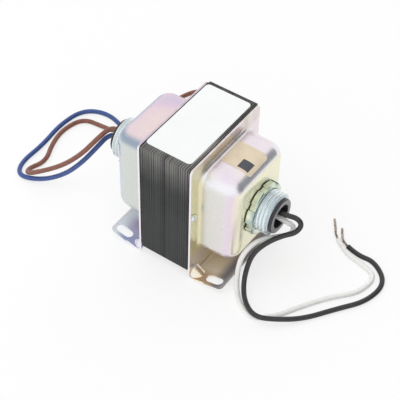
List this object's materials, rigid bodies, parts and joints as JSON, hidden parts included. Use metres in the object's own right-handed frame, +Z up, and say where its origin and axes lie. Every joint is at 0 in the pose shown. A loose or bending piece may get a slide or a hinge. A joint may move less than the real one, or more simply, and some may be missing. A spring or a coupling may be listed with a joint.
{
  "type": "control transformer",
  "caption": "Foot-mounted low-voltage control transformer: riveted EI core between two drawn end bells with slotted feet, conduit hubs and loose leads.",
  "frame": {"origin": "under the middle of the core, on the surface that the bends of the feet stand on", "axes": "+X along the hub axis towards the primary hub, +Y across the core, +Z up out of the mounting surface"},
  "size_m": [0.1988, 0.1237, 0.0718],
  "materials": {
    "core_steel": "varnished stack of silicon steel laminations",
    "rivet_steel": "plain zinc plated steel rivet",
    "bobbin_nylon": "moulded glass-filled nylon, natural",
    "magnet_wire": "enamelled copper wire, layer wound",
    "coil_tape": "polyester film tape, yellow",
    "splice_metal": "tinned crimp",
    "bell_zinc": "yellow chromate zinc plate with an iridescent sheen",
    "hub_zinc": "clear bluish zinc plate",
    "bushing_nylon": "moulded black nylon",
    "label_film": "white film label, bare",
    "sticker_foil": "gold foil sticker, bare",
    "lead_black": "black PVC insulation",
    "lead_white": "white PVC insulation",
    "lead_blue": "blue PVC insulation",
    "lead_brown": "brown PVC insulation",
    "lead_strands": "twisted tinned copper strands"
  },
  "bodies": {
    "root": {"core_e_stack": "core_steel", "core_i_stack": "core_steel", "core_rivets": "rivet_steel", "bobbin": "bobbin_nylon", "primary_winding": "magnet_wire", "secondary_winding": "magnet_wire", "primary_tape": "coil_tape", "secondary_tape": "coil_tape", "primary_splices": "splice_metal", "secondary_splices": "splice_metal", "primary_bell": "bell_zinc", "secondary_bell": "bell_zinc", "primary_nipple": "hub_zinc", "secondary_nipple": "hub_zinc", "primary_locknut": "hub_zinc", "secondary_locknut": "hub_zinc", "primary_bushing": "bushing_nylon", "secondary_bushing": "bushing_nylon", "top_label": "label_film", "bell_sticker": "sticker_foil", "black_lead": "lead_black", "white_lead": "lead_white", "blue_lead": "lead_blue", "brown_lead": "lead_brown", "black_lead_strands": "lead_strands", "white_lead_strands": "lead_strands", "blue_lead_strands": "lead_strands", "brown_lead_strands": "lead_strands"}
  },
  "joints": []
}
